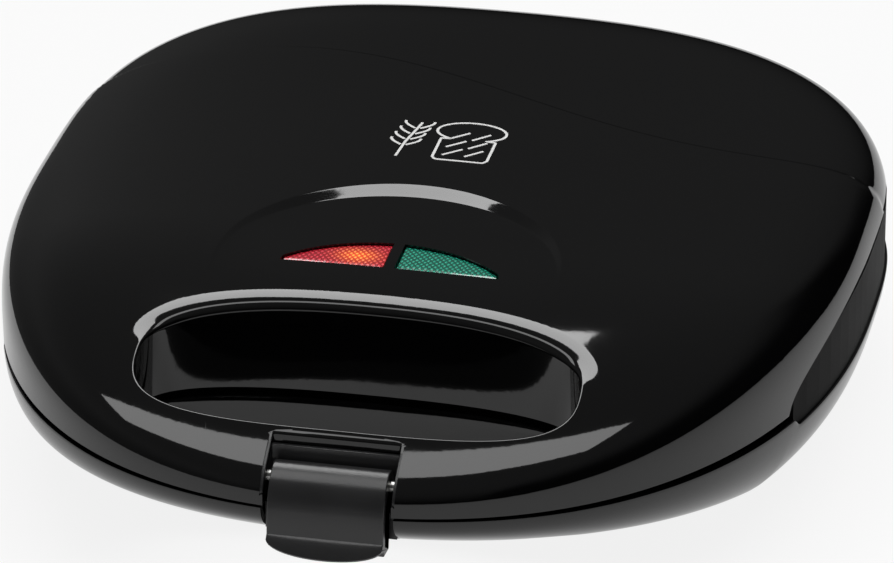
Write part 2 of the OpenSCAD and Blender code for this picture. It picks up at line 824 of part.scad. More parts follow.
module lid_inner_frame() {
    low = seam_z + frame_out;
    color("#151515")
        difference() {
            union() {
                difference() {
                    union() {
                        intersection() {
                            slab(outline(lid_wall + 1.1), low, low + frame_t);
                            block(-half_width, half_width, front_y, rear_wall_y - 8, 0, 200);
                        }
                        slab(outline(4.8), low, low + frame_t);
                        intersection() {
                            difference() {
                                slab(outline(4.8), low, seam_z + 16.8);
                                slab(outline(6.8), low - 1, seam_z + 18);
                            }
                            block(-half_width, half_width, rear_wall_y - 8, rear_y, 0, 200);
                        }
                    }
                    rounded(plate_w - 10, plate_d - 10, plate_r + 10, plate_y, 0, 100);
                    rounded(plate_w + 0.6, plate_d + 0.6, plate_r + 0.3, plate_y,
                            0, seam_z + plate_out + seat_gap);
                    slab(hand(collar_wall + 0.8), 0, 100);
                    block(-cheek_out - 0.2, cheek_out + 0.2, front_y - 10, slot_back_y + 3, 0, 100);
                }
                for (sx = [-1, 1]) {
                    w = lid_knuckle_half - 0.1;
                    bar_x(sx * hinge_x - w, sx * hinge_x + w, hinge_y, hinge_z, knuckle_r);
                    block(sx * hinge_x - w, sx * hinge_x + w, rear_y - 7, hinge_y,
                          hinge_z - 3, hinge_z + 1.3);
                }
            }
            bar_x(-100, 100, hinge_y, hinge_z, hinge_pin_r + turning_fit);
            for (s = plate_screws)
                stud(s.x, s.y, 0, 100, screw_r + 0.15);
            for (s = shell_screws) {
                stud(s.x, s.y, 0, 100, screw_r + 0.1);
                stud(s.x, s.y, 0, low + screw_head_t - seat_gap, screw_head_r + 0.2);
            }
        }
}

module upper_heater() {
    color("#5c5a55")
        tube(heater_path(), seam_z + heater_off, heater_d / 2);
}

module upper_reflector() {
    z = seam_z + frame_out + frame_t + seat_gap;
    color("Silver")
        translate([0, 0, z])
            shield(seam_z + shield_out - z);
}

module upper_thermostat() {
    color("Gainsboro")
        translate([0, 0, seam_z])
            thermostat(boss_out + seat_gap);
}

module thermal_fuse() {
    color("Tan")
        bar_x(-switch_x - fuse_length / 2, -switch_x + fuse_length / 2, plate_y + switch_back,
              seam_z + boss_out + fuse_r + seat_gap, fuse_r, 24);
}

module upper_plate_screws() {
    color("Silver")
        translate([0, 0, seam_z + plate_gap])
            plate_screw_set();
}

module lid_screws() {
    low = seam_z + frame_out;
    color("Silver")
        for (s = shell_screws) {
            stud(s.x, s.y, low + 0.3, low + screw_head_t - 2 * seat_gap, screw_head_r);
            stud(s.x, s.y, low + 2.2, seam_z + 17, screw_r);
        }
}

// cheeks follow the curve of the front bar just under its skin
function cheek() = concat(
    [[slot_back_y - seat_gap, seam_z + 1]],
    [for (i = [0:14]) let (y = slot_back_y - seat_gap - i * (slot_back_y - seat_gap - front_y - 1.4) / 14)
        [y, seam_z + lid_line(cheek_out, y) - 0.5]],
    [[front_y + 1.4, seam_z + 1]]);

module latch_bracket() {
    color("#101012")
        difference() {
            union() {
                for (sx = [-1, 1])
                    translate([sx * (slot_half + cheek_t / 2), 0, 0])
                        side_cut(cheek(), cheek_t / 2);
                block(-cheek_out, cheek_out, slot_back_y - seat_gap - 1.3, slot_back_y - seat_gap,
                      seam_z + 1, seam_z + 12);
            }
            bar_x(-cheek_out - 1, cheek_out + 1, clip_y, clip_z, clip_pin_r + fixed_fit);
        }
}

module latch_pin() {
    color("Silver")
        bar_x(-slot_half - 1.5, slot_half + 1.5, clip_y, clip_z, clip_pin_r);
}

// lens filling one window, its top a little under the skin
module lens(m) {
    tilt = 5.5;
    mirror([m, 0, 0])
        intersection() {
            slab(lens_edge(0), seam_z + 30, seam_z + 45);
            translate([0, lens_y, seam_z + 33.1])
                rotate([tilt, 0, 0])
                    translate([-50, -20, -20])
                        cube([100, 60, 20]);
        }
}

module red_lens() {
    color("Red")
        lens(1);
}

module green_lens() {
    color("SeaGreen")
        lens(0);
}

module lamp(m) {
    y = lens_y + 4.5;
    z = seam_z + holder_up + lamp_r + 0.2;
    x = lamp_x + lamp_length;
    mirror([m, 0, 0]) {
        bar_x(lamp_x, x, y, z, lamp_r, 24);
        bar_x(x, x + 4, y, z, lamp_r / 2, 16);
    }
}

module red_lamp() {
    color("OrangeRed")
        lamp(1);
}

module green_lamp() {
    color("PaleGreen")
        lamp(0);
}

module lamp_holder() {
    color("Wheat")
        block(-lens_half - 12, lens_half + 12, lens_y - 4.25, lens_y - 4.25 + holder_d,
              seam_z + holder_up - 1.9, seam_z + holder_up - seat_gap);
}

module upper_wiring() {
    color("White")
        lead(seam_z + heater_off, 1.2, rear_y - 22.4);
}

// clip

// section of the clip round its pivot, hooked
function clip_section() = [
    [-2.7, 3.2], [-5.3, 1], [-6.9, -2], [-7.8, -6], [-8.1, -10.5], [-7.9, -14],
    [-9.4, -16.4], [-11.6, -18.2], [-10.9, -19.9], [-8.2, -18.6], [-6.2, -17.2],
    [-0.7, -17.2], [-0.6, -14.8], [-5.2, -14.4], [-5.6, -9.4], [-5.2, -5.2], [-3.6, -2.4], [0, -3.4]];

module latch_clip() {
    color("#2a2a2c")
        translate([0, clip_y, clip_z])
            rotate([-clip_rest_angle, 0, 0])
                difference() {
                    union() {
                        bar_x(-clip_half, clip_half, 0, 0, clip_barrel_r);
                        side_cut(clip_section(), clip_half);
                    }
                    difference() {
                        block(-clip_half - 1, clip_half + 1, -20, -6.4, -25, -14);
                        translate([0, 0, tongue_r - 19.9])
                            rotate([90, 0, 0])
                                cylinder(h = 60, r = tongue_r, center = true, $fn = 96);
                    }
                    bar_x(-clip_half - 1, clip_half + 1, 0, 0, clip_pin_r + turning_fit);
                }
}

// what to draw

base_cover();
base_inner_frame();
lower_plate();
lower_heater();
lower_reflector();
lower_thermostat();
lower_plate_screws();
base_screws();
rubber_feet();
cord_gland();
terminal_block();
lower_wiring();
latch_catch();
hinge_pins();
lid_cover();
lid_inner_frame();
upper_plate();
upper_heater();
upper_reflector();
upper_thermostat();
thermal_fuse();
upper_plate_screws();
lid_screws();
latch_bracket();
latch_pin();
red_lens();
green_lens();
red_lamp();
green_lamp();
lamp_holder();
upper_wiring();
latch_clip();
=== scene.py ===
"""Visual model of a two-slice sandwich toaster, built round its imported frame.

Lengths in the formulas are millimetres in the frame's axes: +Z up, the front along -Y.
"""
import json
import math

import bmesh
import bpy
import numpy as np
from mathutils import Matrix


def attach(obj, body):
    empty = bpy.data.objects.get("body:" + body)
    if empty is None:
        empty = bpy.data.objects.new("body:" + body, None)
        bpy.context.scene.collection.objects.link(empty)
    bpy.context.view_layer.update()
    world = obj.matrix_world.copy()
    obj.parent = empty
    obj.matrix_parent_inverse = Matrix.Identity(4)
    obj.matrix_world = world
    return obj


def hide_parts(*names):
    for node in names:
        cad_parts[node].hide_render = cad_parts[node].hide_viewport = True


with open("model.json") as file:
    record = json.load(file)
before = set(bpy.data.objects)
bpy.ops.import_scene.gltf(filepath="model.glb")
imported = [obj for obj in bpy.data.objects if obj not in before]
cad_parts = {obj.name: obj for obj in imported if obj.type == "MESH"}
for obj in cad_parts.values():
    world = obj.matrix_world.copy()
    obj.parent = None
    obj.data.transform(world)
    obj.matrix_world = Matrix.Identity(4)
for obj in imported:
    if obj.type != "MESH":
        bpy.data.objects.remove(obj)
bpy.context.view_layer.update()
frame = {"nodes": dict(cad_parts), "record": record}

MM = 0.001

# shape values shared with the solids
HALF_WIDTH = 118.0
FRONT_DEPTH = 153.6
REAR_DEPTH = 96.6
FRONT_SQUARE = 2.25
REAR_SQUARE = 3.25
WIDE_Y = 26.6
SEAM = 41.0
WALL = 2.4
HAND_HALF = (58.5, 20.5)
HAND_SQUARE = 2.6
HAND_Y = -90.75
COLLAR = 2.2
LID_COLLAR_Z = SEAM + 5.5
BASE_COLLAR_Z = SEAM + 2.8
COLLAR_ROUND = 0.6
FOOT_X = 72.0
FOOT_Y = (-26.0, 84.0)
FOOT_SEAT_R = 8.06
FOOT_TOP = 9.6
ARCH_START_Y = -48.25
ARCH_LENGTH = 60.0
ARCH_RISE = 15.3
REAR_WALL_Y = -44.25
SLOT_HALF = 16.85
SLOT_BACK_Y = -113.5
CLIP_PIVOT = (-119.55, 46.6)
CLIP_REST = math.radians(5.0)
CLIP_HALF = 15.3
CLIP_BARREL = 4.2
CLIP_EDGE = 0.35
LENS_Y = -51.75
LENS_R = 42.3
LENS_ARC_Y = LENS_Y + 13.1 - LENS_R
LENS_INNER = 1.8
LENS_OUTER = 29.0
LID_RISE = 36.2
LID_FRONT_FALL = 21.0
LID_REAR_RISE = 6.0
LID_SIDE_FALL = 5.4
LID_SHOULDER = 9
LID_FLATNESS = 4
BASE_SHOULDER = 6.84
BASE_FLATNESS = 2.487

# shape values of the scene alone
WAVE_Y = 57.75
WAVE_SWING = 18.3
WAVE_SHIFT = 8.0
WAVE_SPAN = 130.0
WAVE_STEP = 0.4
SCOOP_MIDDLE = (-1.2, -50.3)
SCOOP_R = 46.4
SCOOP_WIDTH = 5.1
SCOOP_SLOPE = 0.37
SLOT_EASE = 0.6
SLOT_EASED_FROM_Y = -126.6
SLOT_PLAIN_TO_Y = -124.0
CLIP_ROOM_HALF = 17.4
CLIP_ROOM_BACK_Y = -117.0
CUT_FRONT_Y = -150.0
CUT_TOP = 100.0

# where the picture was taken from
CAMERA_AZIMUTH = math.radians(12.05)
CAMERA_ELEVATION = math.radians(25.97)
CAMERA_DISTANCE = 1.8
CAMERA_TARGET = (0.00206, 0.01170, 0.041)
PICTURE_WIDTH = 894.0
FOCAL_PIXELS = 6577.0
SENSOR_WIDTH = 36.0

# lamp panels in metres and watts; a radiance of 1 is the picture's white
KEY_PLACE = (0.1, -0.1, 1.3)
KEY_TARGET = (0.0, 0.0, 0.05)
KEY_SIZE = (1.6, 1.2)
KEY_WATTS = 16.0
PANEL_HEIGHT = 1.15
REAR_PANEL_PLACE = (-0.24, 0.42)
REAR_PANEL_SIZE = (0.52, 0.50)
REAR_PANEL_RADIANCE = 7.5
FRONT_PANEL_PLACE = (-0.32, -0.28)
FRONT_PANEL_SIZE = (1.95, 0.30)
FRONT_PANEL_RADIANCE = 3.6

# floor in millimetres, and shares of white and of even light
FLOOR_LEFT = -280.0
FLOOR_FAR = 3000.0
FLOOR_GLOW = 0.86
FLOOR_GLOW_MIRRORED = 0.5
WALLS_SHARE = 0.8
EVEN_LIGHT = 0.28


# shape functions

def smooth(t):
    """Smooth step: 3t^2 - 2t^3 of t held between 0 and 1."""
    t = np.clip(t, 0.0, 1.0)
    return t * t * (3.0 - 2.0 * t)


def outline_measure(x, y, inset=0.0):
    """Superellipse measure: 1 on the outline drawn in by inset, 0 at its middle."""
    dy = y - WIDE_Y
    front = dy < 0
    depth = np.where(front, FRONT_DEPTH, REAR_DEPTH) - inset
    n = np.where(front, FRONT_SQUARE, REAR_SQUARE)
    return ((np.abs(x) / (HALF_WIDTH - inset)) ** n + (np.abs(dy) / depth) ** n) ** (1.0 / n)


def hand_radius(angle, grow=0.0):
    """Distance from the hand opening's middle to its superellipse edge along an angle."""
    a, b = HAND_HALF[0] + grow, HAND_HALF[1] + grow
    return (np.abs(np.cos(angle) / a) ** HAND_SQUARE
            + np.abs(np.sin(angle) / b) ** HAND_SQUARE) ** (-1.0 / HAND_SQUARE)


def hand_distance(x, y):
    """Distance outwards from the hand opening's edge, to first order: (G - 1) / |grad G|."""
    a, b = HAND_HALF
    u, v = np.abs(x) / a, np.abs(y - HAND_Y) / b
    total = u ** HAND_SQUARE + v ** HAND_SQUARE + 1e-12
    g = total ** (1.0 / HAND_SQUARE)
    slope = total ** (1.0 / HAND_SQUARE - 1.0) * np.hypot(
        u ** (HAND_SQUARE - 1) / a, v ** (HAND_SQUARE - 1) / b)
    return (g - 1.0) / slope


def rounding(distance, radius):
    """Drop of a quarter-round edge: R - sqrt(R^2 - (R - d)^2) within R of the edge."""
    inside = np.clip(radius - distance, 0.0, radius)
    return radius - np.sqrt(np.maximum(radius ** 2 - inside ** 2, 0.0))


def shouldered(q, shoulder, flatness):
    """Share of the full height at measure q: (1 - q^shoulder)^(1/flatness), and 0 past the outline."""
    return np.maximum(1.0 - q ** shoulder, 0.0) ** (1.0 / flatness)


def measure_at(share, shoulder, flatness):
    """Measure at which the height has fallen to a share: (1 - share^flatness)^(1/shoulder)."""
    return (1.0 - share ** flatness) ** (1.0 / shoulder)


def lid_form(x, y):
    """Rise of the lid over the seam before its shoulder: falling in front, rising behind, bowed across."""
    front = np.maximum((-28.25 - y) / 90.0, 0.0)
    rear = np.maximum((y - 11.75) / 100.0, 0.0)
    return LID_RISE - LID_FRONT_FALL * front ** 2 + LID_REAR_RISE * rear ** 2 - LID_SIDE_FALL * (x / 100.0) ** 2


def styling_step(x, y):
    """Inset of the lid's rear field behind a sine wave across the lid."""
    wave = WAVE_Y - WAVE_SWING * np.sin(np.pi * (x - WAVE_SHIFT) / WAVE_SPAN)
    return WAVE_STEP * smooth((y - wave) / 1.5)


def ramp(t, ease=0.14):
    """Straight ramp from 0 to 1 whose two ends are rounded by parabolas over the share ease."""
    t = np.clip(t, 0.0, 1.0)
    low = t * t / (2.0 * ease * (1.0 - ease))
    high = 1.0 - (1.0 - t) ** 2 / (2.0 * ease * (1.0 - ease))
    return np.where(t < ease, low, np.where(t > 1.0 - ease, high, (t - 0.5 * ease) / (1.0 - ease)))


def arch_drop(x, y):
    """Scoop over the lamp windows: a crescent band of even slope inside a circle, fading forwards."""
    dx, dy = x - SCOOP_MIDDLE[0], y - SCOOP_MIDDLE[1]
    share = np.sqrt(np.maximum(1.0 - (dx / SCOOP_R) ** 2, 0.0))
    width = SCOOP_WIDTH * share + 1e-3
    inside = SCOOP_R - np.hypot(dx, np.maximum(dy, 0.0))
    return SCOOP_SLOPE * width * ramp(inside / width) * smooth((y + 69.0) / 50.0) * (share > 0)


def rim_drop(d):
    """Drop of the hand opening's rear rim: a band growing steeper over 3.6 mm, then a tight round."""
    band = np.clip(5.2 - d, 0.0, 3.6)
    round_r = 2.3
    low = np.clip(d, 0.0, 1.6)
    turn = math.sqrt(round_r ** 2 - (round_r - 1.6) ** 2) - np.sqrt(round_r ** 2 - (round_r - low) ** 2)
    return 0.075 * band + 0.034 * band ** 2 + turn


def lid_edge(y):
    """Rise of the lid's lower edge over the seam, arching up along the sides."""
    s = np.clip((y - ARCH_START_Y) / ARCH_LENGTH, 0.0, 1.0)
    return ARCH_RISE * np.sqrt(1.0 - (1.0 - s) ** 2)


def lid_top(x, y):
    """Height of the lid's finished outside: form times shoulder, less its steps and rounded edges."""
    inset = styling_step(x, y)
    q = outline_measure(x, y, inset)
    z = (lid_form(x, y) - inset) * shouldered(q, LID_SHOULDER, LID_FLATNESS) - arch_drop(x, y)
    rear = smooth((y - HAND_Y - 2.0) / 11.0)
    edge = hand_distance(x, y)
    return SEAM + z - rear * rim_drop(edge) - (1.0 - rear) * rounding(edge, 0.7)


def lid_end(x, y):
    """Positive outside the place where the lid's outside comes down to its lower edge."""
    inset = styling_step(x, y)
    share = np.clip(lid_edge(y) / (lid_form(x, y) - inset), 0.0, 1.0)
    return outline_measure(x, y, inset) - measure_at(share, LID_SHOULDER, LID_FLATNESS)


def lid_under(x, y):
    """Inside of the lid's skin: the same form drawn in by the wall."""
    q = outline_measure(x, y, WALL)
    return SEAM + (lid_form(x, y) - WALL) * shouldered(q, LID_SHOULDER, LID_FLATNESS) - arch_drop(x, y)


def lid_under_end(x, y):
    """Positive outside the inner edge of the lid's wall."""
    share = np.clip(lid_edge(y) / (lid_form(x, y) - WALL), 0.0, 1.0)
    return outline_measure(x, y, WALL) - measure_at(share, LID_SHOULDER, LID_FLATNESS)


def base_depth(y):
    """Depth of the base under the seam before its shoulder."""
    return np.minimum(13.9 + 0.246 * (y + 127.0), 33.4)


def base_rim(x, y):
    """Depth of the base's rim under the seam: a shallow bow in front, a step down behind."""
    behind = smooth((y - REAR_WALL_Y) / 0.8)
    return (1.0 + 2.3 * (x / 105.0) ** 2) * (1.0 - behind) + 6.0 * behind


def base_out(x, y):
    """Height of the base's outside, rounded at the hand opening's lower edge."""
    q = outline_measure(x, y)
    z = base_depth(y) * shouldered(q, BASE_SHOULDER, BASE_FLATNESS)
    return SEAM - z + rounding(hand_distance(x, y), 3.0)


def base_end(x, y):
    """Positive outside the place where the base's outside comes up to its rim."""
    share = np.clip(base_rim(x, y) / base_depth(y), 0.0, 1.0)
    return outline_measure(x, y) - measure_at(share, BASE_SHOULDER, BASE_FLATNESS)


def base_in(x, y):
    """Height of the base's inside: the same form drawn in by the wall."""
    q = outline_measure(x, y, WALL)
    return SEAM - (base_depth(y) - WALL) * shouldered(q, BASE_SHOULDER, BASE_FLATNESS)


def base_in_end(x, y):
    """Positive outside the inner edge of the base's wall."""
    share = np.clip(base_rim(x, y) / (base_depth(y) - WALL), 0.0, 1.0)
    return outline_measure(x, y, WALL) - measure_at(share, BASE_SHOULDER, BASE_FLATNESS)


# surfaces from grids

def reach(angle, beyond, near, far=330.0):
    """Distance from the hand opening's middle at which beyond(x, y) turns positive, by halving."""
    low, high = near + 0.0, np.full_like(angle, far)
    for _ in range(48):
        mid = 0.5 * (low + high)
        outside = beyond(mid * np.cos(angle), HAND_Y + mid * np.sin(angle)) > 0
        high = np.where(outside, mid, high)
        low = np.where(outside, low, mid)
    return low


def even_rays(count):
    """Ray angles spaced by equal steps of outline length plus twice the hand opening's length."""
    angle = np.linspace(-0.5 * np.pi, 1.5 * np.pi, 7201)
    hand = hand_radius(angle)
    outer = reach(angle, lambda x, y: outline_measure(x, y) - 1.0, hand)
    total = np.zeros(len(angle))
    for r, share in ((hand, 2.0), (outer, 1.0)):
        step = np.hypot(np.diff(r * np.cos(angle)), np.diff(r * np.sin(angle)))
        total[1:] += share * np.cumsum(step)
    return np.interp(np.arange(count) * total[-1] / count, total, angle)


def resampled(path, count, pull):
    """Each row of points again at count places, by equal steps of length plus pull times turning."""
    step = np.diff(path, axis=1)
    length = np.linalg.norm(step, axis=2)
    heading = step / np.maximum(length, 1e-9)[..., None]
    turn = np.arccos(np.clip((heading[:, 1:] * heading[:, :-1]).sum(2), -1.0, 1.0))
    load = length + pull * 0.5 * (np.pad(turn, ((0, 0), (1, 0))) + np.pad(turn, ((0, 0), (0, 1))))
    along = np.concatenate([np.zeros((len(path), 1)), np.cumsum(load, axis=1)], axis=1)
    out = np.empty((len(path), count, 3))
    for row, (a, p) in enumerate(zip(along, path)):
        s = np.linspace(0.0, a[-1], count)
        out[row] = np.stack([np.interp(s, a, p[:, k]) for k in range(3)], axis=1)
    return out


def rows(angle, radius, height):
    """Points at given radii round the hand opening's middle with given heights."""
    return np.stack([radius * np.cos(angle), HAND_Y + radius * np.sin(angle),
                     np.broadcast_to(height, radius.shape)], axis=-1)


def swept(angle, inner, outer, height, samples=1600, power=2.5):
    """Path from inner to outer radius over height(x, y), sampled ever closer towards both ends."""
    s = np.linspace(0.0, 1.0, samples)[None, :]
    near = np.minimum(9.0, 0.4 * (outer - inner))[:, None]
    first = inner[:, None] + near * np.linspace(0.0, 1.0, samples // 4, endpoint=False)[None, :] ** 3
    rest = outer[:, None] - ((outer - inner)[:, None] - near) * (1.0 - s) ** power
    r = np.concatenate([first, rest], axis=1)
    a = np.broadcast_to(angle[:, None], r.shape)
    return rows(a, r, height(r * np.cos(a), HAND_Y + r * np.sin(a)))


def upright(angle, radius, low, high, samples=60):
    """Straight vertical path at one radius of each ray."""
    s = np.linspace(0.0, 1.0, samples)[None, :]
    z = low[:, None] + (high - low)[:, None] * s
    r = np.broadcast_to(radius[:, None], z.shape)
    return rows(np.broadcast_to(angle[:, None], z.shape), r, z)


def mesh_object(name, points, faces, sharp=35.0):
    """A mesh from points in millimetres, faces turned outwards by the sign of its volume."""
    faces = [np.asarray(f) for f in faces]
    p = np.asarray(points, float).reshape(-1, 3) * MM
    volume = 0.0
    for f in faces:
        for k in range(1, f.shape[1] - 1):
            volume += np.einsum("ij,ij->i", p[f[:, 0]], np.cross(p[f[:, k]], p[f[:, k + 1]])).sum()
    if volume < 0:
        faces = [f[:, ::-1] for f in faces]
    mesh = bpy.data.meshes.new(name)
    mesh.from_pydata(p.tolist(), [], [row for f in faces for row in f.tolist()])
    obj = bpy.data.objects.new(name, mesh)
    bpy.context.scene.collection.objects.link(obj)
    shade(obj, sharp)
    return obj


def shade(obj, sharp):
    """Smooth shading with sharp edges over the given angle in degrees."""
    mesh = obj.data
    mesh.polygons.foreach_set("use_smooth", np.ones(len(mesh.polygons), bool))
    mesh.set_sharp_from_angle(angle=math.radians(sharp))
    mesh.update()


def loop_faces(rings, knots, close_rings=True, close_knots=True):
    """Quads of a grid of points, wrapping round in either direction."""
    i = np.arange(rings if close_rings else rings - 1)[:, None]
    j = np.arange(knots if close_knots else knots - 1)[None, :]
    i2, j2 = (i + 1) % rings, (j + 1) % knots
    quad = np.stack(np.broadcast_arrays(i * knots + j, i2 * knots + j, i2 * knots + j2, i * knots + j2), -1)
    return quad.reshape(-1, 4)


def ring_skin(name, grid):
    """Closed skin from a profile carried round the hand opening."""
    return mesh_object(name, grid, [loop_faces(grid.shape[0], grid.shape[1])])


def prism(name, outline, low, high):
    """Upright prism over a closed outline."""
    n = len(outline)
    top = np.column_stack([outline, np.full(n, high)])
    bottom = np.column_stack([outline, np.full(n, low)])
    sides = loop_faces(2, n, close_rings=False)
    caps = [np.arange(n)[None, :], (n + np.arange(n))[None, ::-1]]
    return mesh_object(name, np.concatenate([bottom, top]), [sides] + caps)


def eased_cutter(name, outline, ease, low):
    """Cutter whose rings widen near the lid's outside by an arc of radius ease, then rise above it."""
    arc = np.radians([0.0, 18.0, 36.0, 52.0, 66.0])
    steps = [(ease * (1.0 - math.cos(a)), ease * (1.0 - math.sin(a))) for a in arc]
    steps.append((steps[-1][0] + 0.8 * ease, steps[-1][1] - 0.8 * ease / math.tan(arc[-1])))
    first, last = outline(0.0), outline(ease * 2.2)
    rings = [np.column_stack([first, np.full(len(first), low)])]
    for grow, depth in steps:
        ring = outline(grow)
        rings.append(np.column_stack([ring, lid_top(ring[:, 0], ring[:, 1]) - depth]))
    rings.append(np.column_stack([last, np.full(len(last), CUT_TOP)]))
    n, points = len(rings[0]), np.concatenate(rings)
    caps = [np.arange(n)[None, :], (len(points) - n + np.arange(n))[None, ::-1]]
    return mesh_object(name, points, [loop_faces(len(rings), n, close_rings=False)] + caps)


def carve(obj, cutters, sharp=35.0):
    """Cuts the cutters out of the piece and bakes the result into its mesh."""
    for cutter in cutters:
        cut = obj.modifiers.new("cut", "BOOLEAN")
        cut.operation = "DIFFERENCE"
        cut.solver = "EXACT"
        cut.object = cutter
    bpy.context.view_layer.update()
    result = bpy.data.meshes.new_from_object(obj.evaluated_get(bpy.context.evaluated_depsgraph_get()))
    obj.modifiers.clear()
    old, obj.data = obj.data, result
    result.name = obj.name
    bpy.data.meshes.remove(old)
    for cutter in cutters:
        bpy.data.meshes.remove(cutter.data)
    shade(obj, sharp)


def rounded_box(x0, x1, y0, y1, r, n=7):
    """Outline of a rectangle with round corners."""
    a = np.radians(np.linspace(0, 90, n))
    parts = []
    corners = ((x1 - r, y1 - r, 0), (x0 + r, y1 - r, 90), (x0 + r, y0 + r, 180), (x1 - r, y0 + r, 270))
    for cx, cy, start in corners:
        t = a + math.radians(start)
        parts.append(np.column_stack([cx + r * np.cos(t), cy + r * np.sin(t)]))
    return np.concatenate(parts)


def window_outline(side, grow, n=40):
    """Edge of one lamp window: a straight front edge and an arc behind it."""
    r = LENS_R + grow
    x0, x1 = LENS_INNER - grow, LENS_OUTER + 1.4 * grow
    x = np.linspace(x1 - 0.5, x0, n)
    arc = np.column_stack([x, LENS_ARC_Y + np.sqrt(np.maximum(r * r - x * x, 0.0))])
    edge = np.concatenate([[[x0, LENS_Y - grow], [x1, LENS_Y - grow]], arc])
    return edge * [side, 1.0]


# shader helpers

class Wire:
    """One socket of a shader tree. Arithmetic on it adds Math nodes."""

    def __init__(self, finish, socket):
        self.finish, self.socket = finish, socket

    def math(self, operation, *others):
        return self.finish.node("ShaderNodeMath", 0, {"operation": operation},
                                **{f"i{k}": v for k, v in enumerate((self,) + others)})

    def __add__(self, other):
        return self.math("ADD", other)

    def __mul__(self, other):
        return self.math("MULTIPLY", other)

    def __sub__(self, other):
        return self.math("SUBTRACT", other)

    def __rsub__(self, other):
        return self.finish.node("ShaderNodeMath", 0, {"operation": "SUBTRACT"}, i0=other, i1=self)

    def __truediv__(self, other):
        return self.math("DIVIDE", other)

    __radd__ = __add__
    __rmul__ = __mul__

    def band(self, low, high):
        """0 below low, 1 above high, smooth between."""
        return self.finish.node("ShaderNodeMapRange", 0, {"interpolation_type": "SMOOTHSTEP"},
                                Value=self, From_Min=low, From_Max=high)


class Graph:
    """A node tree with helpers that add nodes."""

    def __init__(self, tree, output):
        self.tree = tree
        self.tree.nodes.clear()
        self.out = self.tree.nodes.new(output)

    def feed(self, socket, value):
        """Links a socket to a wire, or sets its value."""
        if isinstance(value, Wire):
            self.tree.links.new(value.socket, socket)
        elif isinstance(value, (tuple, list)) and len(value) == 3 and len(socket.default_value) == 4:
            socket.default_value = (*value, 1.0)
        else:
            socket.default_value = value

    def node(self, kind, output=0, settings=None, **inputs):
        """Adds a node, sets it up and feeds its sockets; i0, i1 ... are sockets by number."""
        made = self.tree.nodes.new(kind)
        for key, value in (settings or {}).items():
            setattr(made, key, value)
        for key, value in inputs.items():
            numbered = key[0] == "i" and key[1:].isdigit()
            self.feed(made.inputs[int(key[1:]) if numbered else key.replace("_", " ")], value)
        return Wire(self, made.outputs[output])

    def mixed(self, factor, a, b):
        """Colour a where the factor is 0 and b where it is 1."""
        made = self.tree.nodes.new("ShaderNodeMix")
        made.data_type = "RGBA"
        self.feed(made.inputs[0], factor)
        self.feed(made.inputs[6], a)
        self.feed(made.inputs[7], b)
        return Wire(self, made.outputs[2])

    def shown(self, shader):
        """Sends a shader to the tree's output."""
        self.tree.links.new(shader.socket, self.out.inputs["Surface"])


class Finish(Graph):
    """A material with one Principled shader."""

    def __init__(self, name, **constants):
        self.material = bpy.data.materials.new(name)
        self.material.use_nodes = True
        super().__init__(self.material.node_tree, "ShaderNodeOutputMaterial")
        self.shader = self.tree.nodes.new("ShaderNodeBsdfPrincipled")
        self.shown(Wire(self, self.shader.outputs[0]))
        for key, value in constants.items():
            self.shader.inputs[key.replace("_", " ")].default_value = value
        self.place = self.node("ShaderNodeTexCoord", "Object")

    def noise(self, scale, detail=3.0, rough=0.55, place=None):
        return self.node("ShaderNodeTexNoise", "Fac", None, Vector=place or self.place,
                         Scale=scale, Detail=detail, Roughness=rough)

    def stretched(self, x, y, z):
        return self.node("ShaderNodeMapping", 0, None, Vector=self.place, Scale=(x, y, z))

    def axis(self, letter):
        return self.node("ShaderNodeSeparateXYZ", letter, None, Vector=self.place)

    def set(self, key, value):
        self.feed(self.shader.inputs[key], value)

    def relief(self, height, distance):
        """Bumps of a height signal, distance metres high."""
        bump = self.node("ShaderNodeBump", 0, None, Height=height, Distance=distance, Strength=1.0)
        self.set("Normal", bump)


def gloss_black():
    """Polished black plastic: faint orange peel, smudges and hairline scratches."""
    f = Finish("gloss_black", IOR=1.5)
    smudge = f.noise(26.0, 4.0).band(0.45, 0.75)
    dust = f.noise(900.0, 2.0).band(0.72, 0.82)
    hair = f.noise(1.0, 2.0, place=f.stretched(900.0, 60.0, 300.0)).band(0.70, 0.76)
    f.set("Base Color", f.mixed(dust * 0.2, (0.0013, 0.0013, 0.0014), (0.014, 0.014, 0.014)))
    f.set("Roughness", 0.045 + smudge * 0.03 + hair * 0.06 + dust * 0.1)
    f.relief(f.noise(230.0, 2.0) + f.noise(60.0, 1.0) * 0.8, 0.000012)
    return f.material


def satin_black(name, tone, rough, grain, gleam=0.5):
    """Moulded plastic with a fine spark-eroded grain."""
    f = Finish(name, IOR=1.5, Specular_IOR_Level=gleam)
    cloud = f.noise(40.0, 4.0)
    fine = f.noise(grain, 2.0, 0.7)
    f.set("Base Color", f.mixed(cloud.band(0.3, 0.7), tone, tuple(c * 1.35 for c in tone)))
    f.set("Roughness", rough + (cloud - 0.5) * 0.12)
    f.relief(fine, 0.00003)
    return f.material


def metal(name, tone, rough, direction, streak=0.25):
    """Metal with drawn streaks along one direction and a mottled sheen."""
    f = Finish(name, Metallic=1.0)
    lines = f.noise(1.0, 4.0, 0.7, place=f.stretched(*direction))
    cloud = f.noise(90.0, 3.0)
    f.set("Base Color", f.mixed(lines.band(0.3, 0.7), tuple(c * (1 - streak) for c in tone), tone))
    f.set("Roughness", rough + lines * 0.15 + (cloud - 0.5) * 0.1)
    f.relief(lines, 0.00001)
    return f.material


